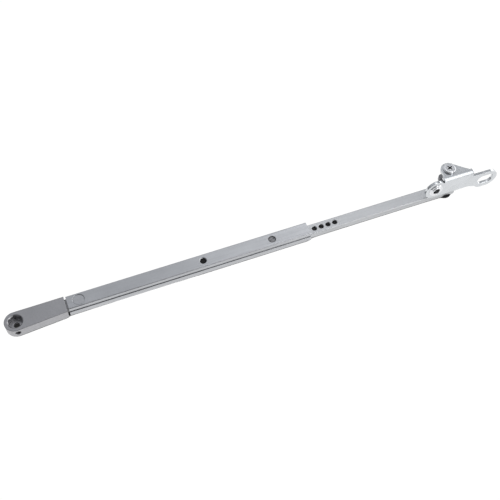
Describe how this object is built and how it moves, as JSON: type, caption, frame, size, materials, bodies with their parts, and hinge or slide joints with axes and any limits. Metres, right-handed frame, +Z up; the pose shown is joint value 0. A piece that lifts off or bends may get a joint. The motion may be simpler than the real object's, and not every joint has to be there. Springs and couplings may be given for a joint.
{
  "type": "friction stay hinge",
  "caption": "Telescopic friction stay for a casement window: a rail with a nose pivot, a braked sliding arm, and a bracket that turns and tilts on the arm's end.",
  "frame": {"origin": "on the axis of the nose bore, at the underside of the end block and rail", "axes": "+X along the rail towards the bracket, +Y away from the bracket's front plate, +Z up through the rail's top face"},
  "size_m": [0.4152, 0.0203, 0.0281],
  "materials": {
    "anodised_rail": "satin anodised extrusion",
    "cast_block": "satin die casting",
    "arm_steel": "satin plated bar",
    "plated_bracket": "bright satin zinc plating",
    "bright_fastener": "bright plating",
    "plain_steel": "plain steel",
    "dark_steel": "blackened steel",
    "nylon": "natural nylon",
    "dark_nylon": "black nylon",
    "black_rubber": "moulded rubber",
    "brass": "turned"
  },
  "bodies": {
    "rail": {"end_block": "cast_block", "block_set_screw": "dark_steel", "rail_profile": "anodised_rail", "block_rivet": "anodised_rail", "end_buffer": "black_rubber", "brake_bush": "dark_steel", "brake_pressure_plate": "plain_steel", "brake_shoe": "nylon", "mouth_guide": "dark_nylon"},
    "brake_screw": {"brake_screw": "plain_steel"},
    "arm": {"arm_bar": "arm_steel", "slider_shoe": "dark_nylon", "slider_rivet": "plain_steel", "eye_bush": "brass", "glide_disc": "dark_nylon"},
    "knuckle": {"knuckle": "plated_bracket", "knuckle_rivet": "plain_steel", "knuckle_washer": "dark_nylon", "spring_washer": "plain_steel", "pivot_rivet": "bright_fastener", "rear_washer": "plain_steel"},
    "bracket": {"mounting_bracket": "plated_bracket", "pivot_washer": "dark_nylon", "clamp_screw": "bright_fastener", "clamp_plate": "plain_steel"}
  },
  "joints": [
    {"name": "arm_slide", "type": "slide", "parent": "rail", "child": "arm", "axis": [1, 0, 0], "range_m": [-0.074, 0.034]},
    {"name": "knuckle_turn", "type": "hinge", "parent": "arm", "child": "knuckle", "pos_m": [0.3625, 0.002, 0.005], "axis": [0, 0, 1], "range_deg": [-110, 110]},
    {"name": "bracket_tilt", "type": "hinge", "parent": "knuckle", "child": "bracket", "pos_m": [0.348, -0.003, 0.0156], "axis": [0, -1, 0], "range_deg": [0, 40]},
    {"name": "brake_adjust", "type": "hinge", "parent": "rail", "child": "brake_screw", "pos_m": [0.206, 0.002, 0.007], "axis": [0, 0, 1], "range_deg": [-90, 90]}
  ]
}
